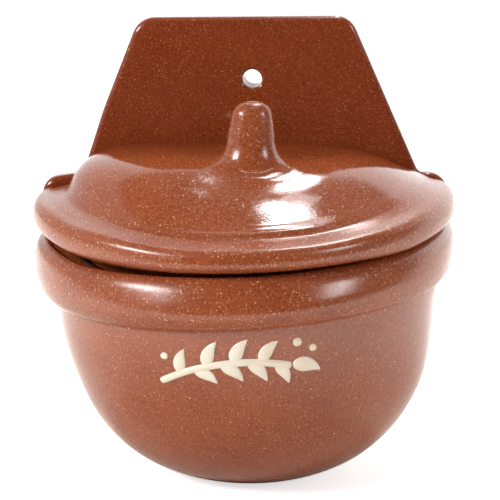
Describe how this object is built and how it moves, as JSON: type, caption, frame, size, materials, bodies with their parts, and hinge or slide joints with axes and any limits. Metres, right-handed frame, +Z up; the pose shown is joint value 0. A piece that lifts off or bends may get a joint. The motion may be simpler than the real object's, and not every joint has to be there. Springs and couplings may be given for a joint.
{
  "type": "salt pig",
  "caption": "Wall-hung or standing salt pot of glazed terracotta: round-bottomed bowl with a rim collar, a flat back plate with a hanging hole, and a loose domed lid with a lug.",
  "frame": {"origin": "centre of the foot's underside, on the axis that the bowl was thrown about", "axes": "+Z up, +Y to the wall behind the plate, +X to the right as seen from the front"},
  "size_m": [0.1306, 0.0858, 0.1419],
  "materials": {
    "glazed_terracotta": "clear glossy glaze over red-brown clay with fine pale flecks",
    "cream_slip": "raised trail of cream slip under the glaze"
  },
  "bodies": {
    "pot": {"bowl": "glazed_terracotta", "rim_collar": "glazed_terracotta", "back_plate": "glazed_terracotta"},
    "lid": {"lid": "glazed_terracotta", "lid_locating_ring": "glazed_terracotta", "lid_lug": "glazed_terracotta"}
  },
  "joints": [
    {"name": "lid_lift", "type": "slide", "parent": "pot", "child": "lid", "axis": [0, 0, 1], "range_m": [0, 0.08]}
  ]
}
